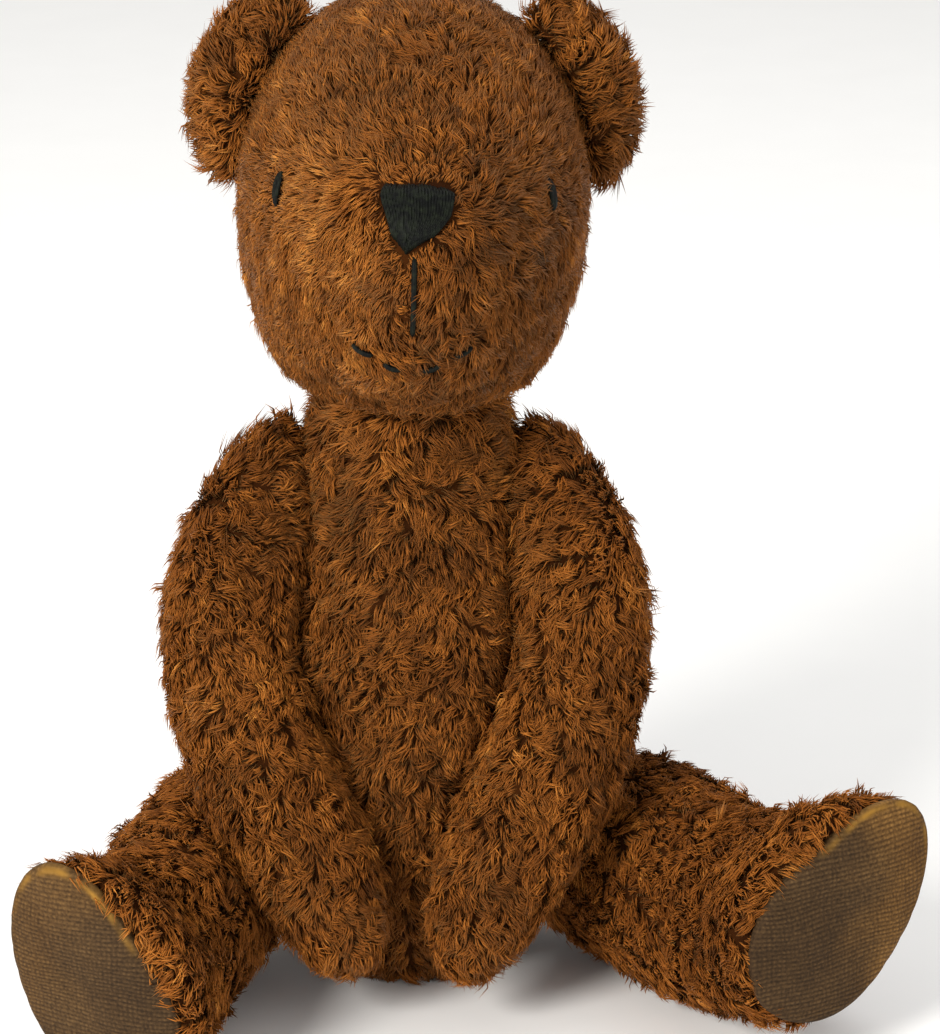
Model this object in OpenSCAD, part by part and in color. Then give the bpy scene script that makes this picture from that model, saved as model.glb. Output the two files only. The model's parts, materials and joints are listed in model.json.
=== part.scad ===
// Jointed plush bear, sitting. It faces -Y, its left side is +X and it sits on z = 0.
// The head, arms and legs each turn on two boards, two washers and a split pin.

/* [Body] */
// Height of the neck joint above the seat
neck_z = 146; // [145:1:147]
// Widest half width of the belly
belly_r = 42; // [40:1:43]
// Widest half width of the head
head_r = 42; // [40:1:43]
// Height of the head above the neck joint
head_h = 93; // [90:1:96]
// How far the head leans towards its left
head_lean = 1.5; // [0:0.5:3]
// How far the head is turned towards its right
head_turn = 1; // [0:1:8]
// Vertical half size of an ear
ear_r = 25; // [22:1:26]

/* [Arms] */
// Distance of the shoulder joint from the middle
shoulder_x = 24; // [23.5:0.5:24.5]
// Height of the shoulder joint
shoulder_z = 116; // [115:1:117]
// Length of an arm from its joint to the end of the paw
arm_len = 119; // [114:1:120]
// How far an arm is swung forward from hanging straight down
arm_swing = 26; // [26:1:34]
// Half thickness of an arm
arm_r = 17; // [16:0.5:17.5]

/* [Legs] */
// Distance of the hip joint from the middle
hip_x = 29; // [28:0.5:30]
// Height of the hip joint
hip_z = 33; // [32:1:34]
// Length of a leg from its joint to the sole
leg_len = 89; // [85:1:90]
// How far a leg is swung forward from standing
leg_swing = 88; // [86:1:90]
// Length of a sole from heel to toe
sole_len = 62; // [58:1:64]

/* [Joints and cloth] */
// Thickness of the fur fabric and its backing
skin_t = 1.5; // [1:0.1:1.8]
// Thickness of a joint board
board_t = 2.5; // [2:0.5:3]
// Thickness of a steel washer
washer_t = 1; // [0.8:0.1:1.2]
// Radius of a split pin's shank
pin_r = 1.3; // [1:0.1:1.6]
// Gap between a limb and the body
joint_gap = 0.4; // [0.3:0.1:0.8]

/* [Hidden] */

left = 1;
right = -1;
big = 400;
play = 0.05;                // between pieces that stay together
run_clear = 0.06;           // between a pin and what turns on it

// Joint boards
neck_board_r = 14;
arm_board_r = 9;
leg_board_r = 11.5;
washer_r = 6;

// How the shoulder and hip axes lie: turned to the front or back, and tipped down
shoulder_turn = 8;
shoulder_tip = 2;
shoulder_y = -3;
hip_y = -5;
function hip_tip(side) = side == left ? 24 : 8;
function hip_turn(side) = side == left ? 19 : 4.5;
function foot_lift(side) = side == left ? 14 : -2;

// Headings of a limb's centre line at its joint and at its end, in degrees away from the joint's plane
up = [180, 180];
function arm_bend(side) = side == left ? [27, -31] : [30, -34];
function leg_bend(side) = side == left ? [21, 9] : [6, 20];

fur = "#8a5526";
fur_dark = "#6f421d";
cloth = "#7d6338";
thread = "#1d1f1c";
wadding = "#e9e2d2";
hardboard = "#8b6b45";
steel = "#b9bcc0";

// Rows of a shape: distance along it, centre across, centre front to back,
// half width, reach to the front, reach to the back, narrowing of the front, turn of the row
torso_rows = [
    [-12, 0, 0, belly_r + 3, 44, 40, 0, 0],
    [24, 0, 0, belly_r + 1.5, 41, 38, 0, 0],
    [48, 0, 0, belly_r - 1, 38, 35, 0, 0],
    [78, 0, 0, belly_r - 5.5, 33, 31, 0, 0],
    [108, 0, 0, belly_r - 11, 29, 27, 0, 0],
    [131, 0, 0, belly_r - 13.5, 26, 25, 0, 0],
    [168, 0, 0, belly_r - 15, 25, 24, 0, 0]
];
head_rows = [
    [-24, 0, 0, head_r - 12, 30, 28, 0.1, 0],
    [0, 0, 0, head_r - 8.5, 33, 35, 0.15, 0],
    [7, 0, 0, head_r - 6, 46, 37, 0.25, 0],
    [20, 0, 0, head_r - 3.4, 59, 40, 0.3, 0],
    [40, 0, 0, head_r - 0.5, 65, 42, 0.28, 0],
    [56, 0, 0, head_r, 66, 43, 0.25, 0],
    [63, 0, 0, head_r + 0.3, 58, 43, 0.15, 0],
    [70, 0, 0, head_r + 0.7, 52, 43, 0.06, 0],
    [head_h, 0, 0, head_r + 1, 46, 42, 0, 0]
];
ear_rows = [
    [-ear_r, 0, 0, 15.5, 8, 8, 0, 0],
    [0, 0, 0, 16.5, 8.5, 8.5, 0, 0],
    [ear_r, 0, 0, 15.5, 8, 8, 0, 0]
];
arm_rows = [
    [-18, 9, 0, arm_r + 2, 17.5, 17.5, 0, 0],
    [0, 9, 0, arm_r + 2, 18, 18, 0, 0],
    [32, 10.2, 0, arm_r - 0.5, 17.5, 17.5, 0, 0],
    [60, 4, 0, arm_r, 17.5, 17.5, 0, 0],
    [88, -1.5, -1, arm_r, 17.5, 17.5, 0, 0],
    [arm_len - 10, -1.5, -3, arm_r - 0.5, 17, 17, 0, 0],
    [arm_len, 0.5, -3, arm_r - 1, 16.5, 16.5, 0, 0]
];
heel_r = sole_len * 0.36;
function thigh_top(side) = side == left ? 27 : 22;
function foot_twist(side) = side == left ? 24 : 14;
function calf_back(side) = side == left ? 28 : 24.5;
function leg_rows(side) = [
    [-25, 14, 0, 24, thigh_top(side), 25, 0, 0],
    [0, 14.5, 0, 24, thigh_top(side), 26, 0, 0],
    [30, 16.5, 0, 21.5, thigh_top(side) - 1, 26, 0, 0.1 * foot_twist(side)],
    [54, 16.5, 0, 20.5, 22, calf_back(side), 0, 0.35 * foot_twist(side)],
    [70, 14.5, 0, 20.5, 27, calf_back(side) - 1, 0, 0.7 * foot_twist(side)],
    [leg_len, 13.5, 0, 20.5, sole_len - heel_r, heel_r, 0, foot_twist(side)],
    [leg_len + 20, 13.5, 0, 20.5, sole_len - heel_r, heel_r, 0, foot_twist(side)]
];

// Smooth curve through the rows, read at distance s
function span(rows, s, i = 0) =
    i >= len(rows) - 2 || s < rows[i + 1][0] ? i : span(rows, s, i + 1);
function slope(rows, i) =
    let (a = max(i - 1, 0), b = min(i + 1, len(rows) - 1))
    (rows[b] - rows[a]) / (rows[b][0] - rows[a][0]);
function row_at(rows, s) =
    let (i = span(rows, s), h = rows[i + 1][0] - rows[i][0], u = (s - rows[i][0]) / h)
    rows[i] * (2 * u * u * u - 3 * u * u + 1)
    + slope(rows, i) * h * (u * u * u - 2 * u * u + u)
    + rows[i + 1] * (3 * u * u - 2 * u * u * u)
    + slope(rows, i + 1) * h * (u * u * u - u * u);

// Centre line that leaves the joint at one heading and reaches the other at the limb's length
function heading(bend, s, length) = bend[0] + (bend[1] - bend[0]) * s / length;
function centre(bend, s, length) =
    bend[0] == bend[1] ? s * [sin(bend[0]), 0, -cos(bend[0])] :
    let (h = heading(bend, s, length), r = length * 180 / PI / (bend[1] - bend[0]))
    r * [cos(bend[0]) - cos(h), 0, sin(bend[0]) - sin(h)];

// One ring's outline around its centre line
function outline(row, inset, sides, close = 1) = [
    for (j = [0:sides - 1])
        let (u = 360 * j / sides, fwd = max(0, -sin(u)), reach = sin(u) < 0 ? row[4] : row[5],
             x = close * (row[3] - inset) * cos(u) * (1 - row[6] * fwd * fwd),
             y = close * (reach - inset) * sin(u))
        [row[1] + x * cos(row[7]) - y * sin(row[7]), row[2] + x * sin(row[7]) + y * cos(row[7])]
];
function placed(points, bend, s, length) =
    let (c = centre(bend, s, length), h = heading(bend, s, length))
    [for (p = points) c + [p[0] * cos(h), p[1], p[0] * sin(h)]];

// Closed body through the rows, drawn in by inset all round, with rounded ends
module soft_body(rows, inset = 0, bend = up, length = 100, round = [2.5, 2.5],
                 sides = 24, rings = 14) {
    s0 = rows[0][0] + inset;
    s1 = rows[len(rows) - 1][0] - inset;
    half = (s1 - s0) / 2;
    tip0 = placed([[row_at(rows, s0)[1], row_at(rows, s0)[2]]], bend, s0, length);
    tip1 = placed([[row_at(rows, s1)[1], row_at(rows, s1)[2]]], bend, s1, length);
    middle = [
        for (i = [1:rings - 1])
            let (c = -cos(180 * i / rings), s = s0 + half * (1 + c), p = c < 0 ? round[0] : round[1])
            each placed(outline(row_at(rows, s), inset, sides, pow(1 - pow(abs(c), p), 1 / p)),
                        bend, s, length)
    ];
    last = 1 + len(middle);
    fan0 = [for (j = [0:sides - 1]) [0, 1 + (j + 1) % sides, 1 + j]];
    fan1 = [for (j = [0:sides - 1]) [last, last - sides + j, last - sides + (j + 1) % sides]];
    walls = [
        for (i = [0:rings - 3], j = [0:sides - 1])
            let (a = 1 + i * sides + j, b = 1 + i * sides + (j + 1) % sides)
            each [[a, b, b + sides], [a, b + sides, a + sides]]
    ];
    polyhedron(concat(tip0, middle, tip1), concat(fan0, walls, fan1), convexity = 4);
}

// Where things are. In a joint's frame the joint is at 0 and the limb lies towards +X.
module sided(side) {
    if (side == left) children();
    else mirror([1, 0, 0]) children();
}
module at_head() {
    translate([0, 0, neck_z]) rotate([0, head_lean, head_turn]) children();
}
module at_neck() {
    at_head() rotate([0, -90, 0]) children();
}
module at_shoulder(side) {
    sided(side)
        translate([shoulder_x, shoulder_y, shoulder_z])
        rotate([-arm_swing, shoulder_tip, -shoulder_turn])
        children();
}
module at_hip(side) {
    sided(side)
        translate([hip_x, hip_y, hip_z])
        rotate([-leg_swing - foot_lift(side), hip_tip(side), hip_turn(side)])
        children();
}
module at_sole(side) {
    at_hip(side)
        translate(centre(leg_bend(side), leg_len, leg_len))
        rotate([0, -heading(leg_bend(side), leg_len, leg_len), 0])
        children();
}
module at_ear(side) {
    sided(side) translate([36, 5, head_h - 25.5]) rotate([0, -14, 12]) children();
}

// Everything on the limb's side of a joint, or on the body's side, from off millimetres out
module limb_side(off) {
    translate([off, -big / 2, -big / 2]) cube(big);
}
module body_side(off) {
    translate([-big - off, -big / 2, -big / 2]) cube(big);
}
module below_floor(off) {
    translate([-big / 2, -big / 2, off - big]) cube(big);
}

// Hardware of one joint, on the joint's X axis
skin_in = joint_gap / 2 + skin_t;
board_in = skin_in + play;
washer_in = board_in + board_t + play;
head_in = washer_in + washer_t + play;

module round_bar(from, to, r) {
    translate([from, 0, 0]) rotate([0, 90, 0]) cylinder(h = to - from, r = r, $fn = 48);
}
module plate(from, thickness, r, hole) {
    difference() {
        round_bar(from, from + thickness, r);
        round_bar(from - 1, from + thickness + 1, hole);
    }
}
module limb_board(r) {
    color(hardboard) plate(board_in, board_t, r, pin_r + play);
}
module limb_washer() {
    color(steel) plate(washer_in, washer_t, washer_r, pin_r + play);
}
module body_board(r) {
    color(hardboard) plate(-board_in - board_t, board_t, r, pin_r + run_clear);
}
module body_washer() {
    color(steel) plate(-washer_in - washer_t, washer_t, washer_r, pin_r + run_clear);
}
// Split pin: a bar across its head in the limb, and two ends curled over inside the body
pin_wire = 0.8;
curl_r = 2.2;
module split_pin() {
    color(steel) {
        round_bar(-head_in - 1, head_in + 1.2, pin_r);
        translate([head_in + 1.2, 0, 0]) rotate([90, 0, 0])
            cylinder(h = 9, r = 1.15, center = true, $fn = 32);
        for (flip = [0, 180])
            rotate([flip, 0, 0])
                translate([-head_in - 0.9, curl_r + 0.35, 0])
                rotate([0, 0, 110])
                rotate_extrude(angle = 160, $fn = 48)
                translate([curl_r, 0])
                circle(r = pin_wire, $fn = 24);
    }
}
// Room in the wadding for a board, its washer and the pin's head or curled ends
pocket_deep = 7;
module limb_pocket(r) {
    round_bar(-5, head_in, r + 0.4);
    round_bar(-5, head_in + pocket_deep, washer_r);
}
module body_pocket(r) {
    rotate([0, 180, 0]) limb_pocket(r);
}
module pin_hole(clear) {
    round_bar(-20, 20, pin_r + clear);
}

// Torso. It is flat against each joint, and dented where the arms rest on the belly.
shoulder_flat_r = 20;
module torso_shape(off) {
    difference() {
        soft_body(torso_rows, inset = off, sides = off > 0 ? 20 : 24, rings = off > 0 ? 12 : 16);
        below_floor(off);
        at_neck() limb_side(-joint_gap / 2 - off);
        for (side = [left, right]) {
            at_shoulder(side) {
                translate([-joint_gap / 2 - off, 0, 0]) rotate([0, 90, 0])
                    cylinder(h = 40, r1 = shoulder_flat_r + off, r2 = shoulder_flat_r + 40, $fn = 12);
                arm_body(side, -arm_clear - off, -joint_gap / 2 - off, 16, 12);
            }
            at_hip(side) limb_side(-joint_gap / 2 - off);
        }
    }
}
module torso_skin() {
    color(fur) difference() {
        torso_shape(0);
        torso_shape(skin_t);
        at_neck() pin_hole(run_clear);
        for (side = [left, right]) {
            at_shoulder(side) pin_hole(run_clear);
            at_hip(side) pin_hole(run_clear);
        }
    }
}
module torso_stuffing() {
    color(wadding) difference() {
        torso_shape(skin_t + play);
        at_neck() body_pocket(neck_board_r);
        for (side = [left, right]) {
            at_shoulder(side) body_pocket(arm_board_r);
            at_hip(side) body_pocket(leg_board_r);
        }
    }
}

// A thin layer on a shape's surface, for sewn details
layer_low = -0.06;
layer_high = -0.9;

// Stitches that close the back
stitch_count = 9;
stitch_pitch = 6;
module back_closing_stitches() {
    color(fur_dark) difference() {
        intersection() {
            soft_body(torso_rows, inset = layer_high, rings = 16);
            for (i = [0:stitch_count - 1])
                translate([-2.5, 5, 54 + i * stitch_pitch])
                    rotate([0, 12, 0])
                    cube([5, 60, 0.9]);
        }
        soft_body(torso_rows, inset = layer_low, rings = 16);
    }
}

// Head
module head_body(inset) {
    soft_body(head_rows, inset = inset, round = [2.4, 2.3], sides = inset > 0 ? 20 : 24,
              rings = inset > 0 ? 12 : 16);
}
module head_shape(off) {
    difference() {
        head_body(off);
        below_floor(joint_gap / 2 + off);
    }
}
gather_r = 3;
module head_skin() {
    color(fur) at_head() difference() {
        head_shape(0);
        head_shape(skin_t);
        translate([0, 0, -5]) cylinder(h = 10, r = gather_r + 0.8, $fn = 48);
    }
}
module head_stuffing() {
    color(wadding) difference() {
        at_head() head_shape(skin_t + play);
        at_neck() limb_pocket(neck_board_r);
    }
}
module neck_gather_thread() {
    color(wadding) at_head() translate([0, 0, joint_gap / 2 + 0.7])
        rotate_extrude($fn = 48) translate([gather_r - 0.6, 0]) circle(r = 0.6, $fn = 24);
}
module ear(side) {
    color(fur) at_head() difference() {
        at_ear(side) soft_body(ear_rows, round = [2, 2], sides = 16, rings = 10);
        head_body(-0.1);
    }
}
module head_layer() {
    at_head() difference() {
        intersection() {
            head_body(layer_high);
            children();
        }
        head_body(layer_low);
    }
}

// Sewn face
nose_z = 55;
nose_w = 17;
nose_h = 13;
mouth_drop = 20;
module nose() {
    color(thread) head_layer()
        translate([0, -30, nose_z]) rotate([90, 0, 0])
        linear_extrude(50)
        polygon([[-nose_w / 2, nose_h / 2 - 1], [-nose_w / 4, nose_h / 2], [nose_w / 4, nose_h / 2],
                 [nose_w / 2, nose_h / 2 - 2], [nose_w / 4, -nose_h / 4], [1.5, -nose_h / 2],
                 [-1.5, -nose_h / 2], [-nose_w / 3, -nose_h / 4]]);
}
module eye(side) {
    color(thread) head_layer()
        sided(side) translate([7, 0, nose_z]) rotate([90, 0, 35])
        linear_extrude(70) scale([1, 3.2]) circle(r = 1.3, $fn = 16);
}
// A line down from the nose and two short stitches to each side of it
module mouth_stitches() {
    color(thread) head_layer() {
        translate([-0.6, -75, nose_z - nose_h / 2 - mouth_drop])
            cube([1.2, 50, mouth_drop - 0.3]);
        for (side = [left, right], stitch = [[2.5, -29.5, 14], [10, -26.5, 32]])
            sided(side)
                translate([stitch[0], -75, nose_z - nose_h / 2 + stitch[1]])
                rotate([0, -stitch[2], 0])
                cube([4, 50, 1]);
    }
}

// Arms
// An arm is flat only against its joint: further down it may cross the joint's plane
flat_r = 45;
arm_clear = 1.3;
module arm_body(side, off, flat_at, sides, rings) {
    difference() {
        soft_body(arm_rows, inset = off, bend = arm_bend(side), length = arm_len, round = [2.3, 2.8],
                  sides = sides, rings = rings);
        translate([flat_at - flat_r, -flat_r, -flat_r])
            cube([flat_r, 2 * flat_r, 2 * flat_r]);
    }
}
module arm_shape(side, off) {
    arm_body(side, off, joint_gap / 2 + off, off > 0 ? 16 : 20, off > 0 ? 12 : 16);
}
module arm_skin(side) {
    color(fur) at_shoulder(side) difference() {
        arm_shape(side, 0);
        arm_shape(side, skin_t);
        pin_hole(play);
    }
}
module arm_stuffing(side) {
    color(wadding) at_shoulder(side) difference() {
        arm_shape(side, skin_t + play);
        limb_pocket(arm_board_r);
    }
}

// Legs. A thigh is dented where the arm rests on it.
sole_t = 1.4;
module leg_shape(side, off) {
    difference() {
        at_hip(side) intersection() {
            soft_body(leg_rows(side), inset = off, bend = leg_bend(side), length = leg_len,
                      round = [2.3, 6], sides = off > 0 ? 16 : 24, rings = off > 0 ? 12 : 16);
            limb_side(joint_gap / 2 + off);
        }
        at_shoulder(side) arm_body(side, -arm_clear - off, -joint_gap / 2 - off, 16, 12);
    }
}
module leg_skin(side) {
    color(fur) difference() {
        leg_shape(side, 0);
        leg_shape(side, skin_t);
        at_sole(side) below_floor(0);
        at_hip(side) pin_hole(play);
    }
}
module leg_stuffing(side) {
    color(wadding) difference() {
        leg_shape(side, skin_t + play);
        at_sole(side) below_floor(play);
        at_hip(side) limb_pocket(leg_board_r);
    }
}
module sole_pad(side) {
    color(cloth) at_sole(side) translate([0, 0, -sole_t - play])
        linear_extrude(sole_t)
        polygon(outline(row_at(leg_rows(side), leg_len), 0.4, 36));
}

torso_skin();
torso_stuffing();
back_closing_stitches();
head_skin();
head_stuffing();
ear(left);  // ear_left
ear(right);  // ear_right
nose();
eye(left);  // eye_left
eye(right);  // eye_right
mouth_stitches();
neck_gather_thread();
at_neck() limb_board(neck_board_r);  // head_board
at_neck() limb_washer();  // head_washer
at_neck() split_pin();  // neck_pin
at_neck() body_board(neck_board_r);  // torso_neck_board
at_neck() body_washer();  // torso_neck_washer

arm_skin(left);  // arm_skin_left
arm_stuffing(left);  // arm_stuffing_left
at_shoulder(left) limb_board(arm_board_r);  // arm_board_left
at_shoulder(left) limb_washer();  // arm_washer_left
at_shoulder(left) split_pin();  // shoulder_pin_left
at_shoulder(left) body_board(arm_board_r);  // torso_shoulder_board_left
at_shoulder(left) body_washer();  // torso_shoulder_washer_left

arm_skin(right);  // arm_skin_right
arm_stuffing(right);  // arm_stuffing_right
at_shoulder(right) limb_board(arm_board_r);  // arm_board_right
at_shoulder(right) limb_washer();  // arm_washer_right
at_shoulder(right) split_pin();  // shoulder_pin_right
at_shoulder(right) body_board(arm_board_r);  // torso_shoulder_board_right
at_shoulder(right) body_washer();  // torso_shoulder_washer_right

leg_skin(left);  // leg_skin_left
leg_stuffing(left);  // leg_stuffing_left
sole_pad(left);  // sole_pad_left
at_hip(left) limb_board(leg_board_r);  // leg_board_left
at_hip(left) limb_washer();  // leg_washer_left
at_hip(left) split_pin();  // hip_pin_left
at_hip(left) body_board(leg_board_r);  // torso_hip_board_left
at_hip(left) body_washer();  // torso_hip_washer_left

leg_skin(right);  // leg_skin_right
leg_stuffing(right);  // leg_stuffing_right
sole_pad(right);  // sole_pad_right
at_hip(right) limb_board(leg_board_r);  // leg_board_right
at_hip(right) limb_washer();  // leg_washer_right
at_hip(right) split_pin();  // hip_pin_right
at_hip(right) body_board(leg_board_r);  // torso_hip_board_right
at_hip(right) body_washer();  // torso_hip_washer_right
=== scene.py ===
"""Looks of the jointed plush bear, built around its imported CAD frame."""
import json
import math

import bmesh
import bpy
import numpy as np
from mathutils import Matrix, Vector
from mathutils.bvhtree import BVHTree
from mathutils.kdtree import KDTree

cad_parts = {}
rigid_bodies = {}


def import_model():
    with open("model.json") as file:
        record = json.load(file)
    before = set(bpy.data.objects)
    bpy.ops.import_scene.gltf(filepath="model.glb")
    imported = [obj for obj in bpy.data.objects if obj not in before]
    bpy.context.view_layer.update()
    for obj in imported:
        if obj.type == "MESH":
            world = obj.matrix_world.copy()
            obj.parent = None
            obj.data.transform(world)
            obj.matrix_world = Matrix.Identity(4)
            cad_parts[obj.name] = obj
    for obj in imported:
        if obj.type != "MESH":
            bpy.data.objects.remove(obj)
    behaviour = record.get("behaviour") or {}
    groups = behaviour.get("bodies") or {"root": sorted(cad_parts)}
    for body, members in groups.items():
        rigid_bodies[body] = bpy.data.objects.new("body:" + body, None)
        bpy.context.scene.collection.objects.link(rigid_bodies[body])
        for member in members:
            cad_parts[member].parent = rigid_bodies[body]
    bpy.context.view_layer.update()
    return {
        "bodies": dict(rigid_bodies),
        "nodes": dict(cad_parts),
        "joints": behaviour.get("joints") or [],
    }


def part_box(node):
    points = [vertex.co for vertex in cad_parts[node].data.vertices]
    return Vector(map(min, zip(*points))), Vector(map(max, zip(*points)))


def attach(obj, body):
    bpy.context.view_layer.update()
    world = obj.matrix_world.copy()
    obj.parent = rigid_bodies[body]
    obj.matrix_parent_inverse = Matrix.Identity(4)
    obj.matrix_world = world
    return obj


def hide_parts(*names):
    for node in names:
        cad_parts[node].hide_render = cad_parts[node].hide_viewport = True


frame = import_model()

MM = 0.001
UP = np.array([0.0, 0.0, 1.0])
NODES = frame["nodes"]
BODIES = list(frame["bodies"])


# ---------------------------------------------------------------- small helpers

def unit(v):
    return v / np.maximum(np.linalg.norm(v, axis=-1, keepdims=True), 1e-12)


def smooth_step(x, low, high):
    t = np.clip((x - low) / (high - low), 0, 1)
    return t * t * (3 - 2 * t)


def waves(p, wavelength, seed, count=14):
    """Smooth noise of about -1 to 1 at points p: a sum of sine waves in seeded directions."""
    rng = np.random.default_rng(seed)
    k = unit(rng.normal(size=(count, 3))) * (2 * math.pi / wavelength) * rng.uniform(0.6, 1.5, (count, 1))
    phase = rng.uniform(0, 2 * math.pi, count)
    return np.sin(p @ k.T + phase).sum(1) / math.sqrt(count) * 0.9


def new_object(name, verts, faces, material=None, smooth=True):
    me = bpy.data.meshes.new(name)
    me.from_pydata([tuple(v) for v in verts], [], faces)
    me.update()
    o = bpy.data.objects.new(name, me)
    bpy.context.scene.collection.objects.link(o)
    if material:
        me.materials.append(material)
    if smooth:
        me.polygons.foreach_set("use_smooth", np.ones(len(me.polygons), bool))
    return o


def mesh_arrays(me):
    co = np.empty(len(me.vertices) * 3)
    me.vertices.foreach_get("co", co)
    return co.reshape(-1, 3)


def set_coordinates(me, co):
    me.vertices.foreach_set("co", co.reshape(-1).astype(np.float32))
    me.update()


def node_points(name):
    return mesh_arrays(NODES[name].data)


def applied(o):
    """Puts an object's modifiers into its mesh."""
    graph = bpy.context.evaluated_depsgraph_get()
    me = bpy.data.meshes.new_from_object(o.evaluated_get(graph))
    old = o.data
    o.modifiers.clear()
    o.data = me
    bpy.data.meshes.remove(old)
    return o


def islands(me):
    """Vertex index lists of a mesh's separate parts, largest first."""
    bm = bmesh.new()
    bm.from_mesh(me)
    bmesh.ops.remove_doubles(bm, verts=bm.verts, dist=1e-7)
    bm.verts.ensure_lookup_table()
    seen, found = set(), []
    for v in bm.verts:
        if v.index in seen:
            continue
        stack, part = [v], []
        seen.add(v.index)
        while stack:
            a = stack.pop()
            part.append(a)
            for e in a.link_edges:
                b = e.other_vert(a)
                if b.index not in seen:
                    seen.add(b.index)
                    stack.append(b)
        found.append(part)
    found.sort(key=len, reverse=True)
    return bm, found


# ---------------------------------------------------------------- materials

def node_tree(name):
    m = bpy.data.materials.new(name)
    m.use_nodes = True
    t = m.node_tree
    t.nodes.clear()
    out = t.nodes.new("ShaderNodeOutputMaterial")
    shader = t.nodes.new("ShaderNodeBsdfPrincipled")
    t.links.new(shader.outputs[0], out.inputs[0])
    return m, t, shader


def link(t, a, b):
    t.links.new(a, b)


def texture(t, kind, scale, detail=3.0, coordinates=None, **values):
    n = t.nodes.new(kind)
    n.inputs["Scale"].default_value = scale
    if "Detail" in n.inputs:
        n.inputs["Detail"].default_value = detail
    for key, value in values.items():
        n.inputs[key].default_value = value
    link(t, coordinates if coordinates else place(t), n.inputs["Vector"])
    return n


def place(t):
    n = t.nodes.get("Place") or t.nodes.new("ShaderNodeTexCoord")
    n.name = "Place"
    return n.outputs["Object"]


def ramp(t, factor, stops):
    n = t.nodes.new("ShaderNodeValToRGB")
    while len(n.color_ramp.elements) < len(stops):
        n.color_ramp.elements.new(0.5)
    for e, (at, colour) in zip(n.color_ramp.elements, stops):
        e.position = at
        e.color = (*colour, 1)
    link(t, factor, n.inputs[0])
    return n.outputs[0]


def mixed(t, factor, a, b, mode="MIX"):
    n = t.nodes.new("ShaderNodeMix")
    n.data_type = "RGBA"
    n.blend_type = mode
    for socket, value in ((n.inputs[0], factor), (n.inputs[6], a), (n.inputs[7], b)):
        if isinstance(value, bpy.types.NodeSocket):
            link(t, value, socket)
        elif isinstance(value, tuple):
            socket.default_value = (*value, 1)
        else:
            socket.default_value = value
    return n.outputs[2]


def maths(t, mode, *values):
    n = t.nodes.new("ShaderNodeMath")
    n.operation = mode
    for socket, value in zip(n.inputs, values):
        if isinstance(value, bpy.types.NodeSocket):
            link(t, value, socket)
        else:
            socket.default_value = value
    return n.outputs[0]


def bump(t, shader, height, depth, strength=0.6):
    n = t.nodes.new("ShaderNodeBump")
    n.inputs["Strength"].default_value = strength
    n.inputs["Distance"].default_value = depth
    link(t, height, n.inputs["Height"])
    link(t, n.outputs[0], shader.inputs["Normal"])


def fur_material():
    """Colour by the Palette map: across it the tone of a tuft, up it the way from root to tip, darker at the
    root as painted shade deep in the pile.
    """
    m, t, s = node_tree("plush_pile")
    uv = t.nodes.new("ShaderNodeUVMap")
    uv.uv_map = "Palette"
    split = t.nodes.new("ShaderNodeSeparateXYZ")
    link(t, uv.outputs[0], split.inputs[0])
    tone = ramp(t, split.outputs[0], [
        (0.0, (0.055, 0.015, 0.003)), (0.3, (0.155, 0.045, 0.007)), (0.6, (0.285, 0.088, 0.0125)),
        (0.85, (0.455, 0.158, 0.025)), (1.0, (0.640, 0.262, 0.050))])
    # depth: painted shade, the pile darkened towards its roots where the strands shade each other, lighter
    # towards the tip
    depth = ramp(t, split.outputs[1], [
        (0.0, (0.22, 0.19, 0.17)), (0.5, (0.72, 0.69, 0.66)), (1.0, (1.25, 1.27, 1.30))])
    link(t, mixed(t, 1.0, tone, depth, "MULTIPLY"), s.inputs["Base Color"])
    s.inputs["Roughness"].default_value = 0.62
    s.inputs["Specular IOR Level"].default_value = 0.3
    s.inputs["Specular Tint"].default_value = (1.0, 0.66, 0.34, 1)
    s.inputs["Sheen Weight"].default_value = 0.12
    s.inputs["Sheen Roughness"].default_value = 0.4
    s.inputs["Sheen Tint"].default_value = (0.9, 0.5, 0.18, 1)
    return m


def shade_backing_material():
    """Dark knitted ground that the pile stands on, its darkness painted shade between the tufts."""
    m, t, s = node_tree("plush_backing_shade")
    cloud = texture(t, "ShaderNodeTexNoise", 90, 4)
    link(t, ramp(t, cloud.outputs[0], [(0.3, (0.018, 0.005, 0.001)), (0.7, (0.045, 0.013, 0.002))]),
         s.inputs["Base Color"])
    fine = texture(t, "ShaderNodeTexVoronoi", 900)
    s.inputs["Roughness"].default_value = 0.95
    s.inputs["Specular IOR Level"].default_value = 0.05
    bump(t, s, fine.outputs[0], 0.0004)
    return m


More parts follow.
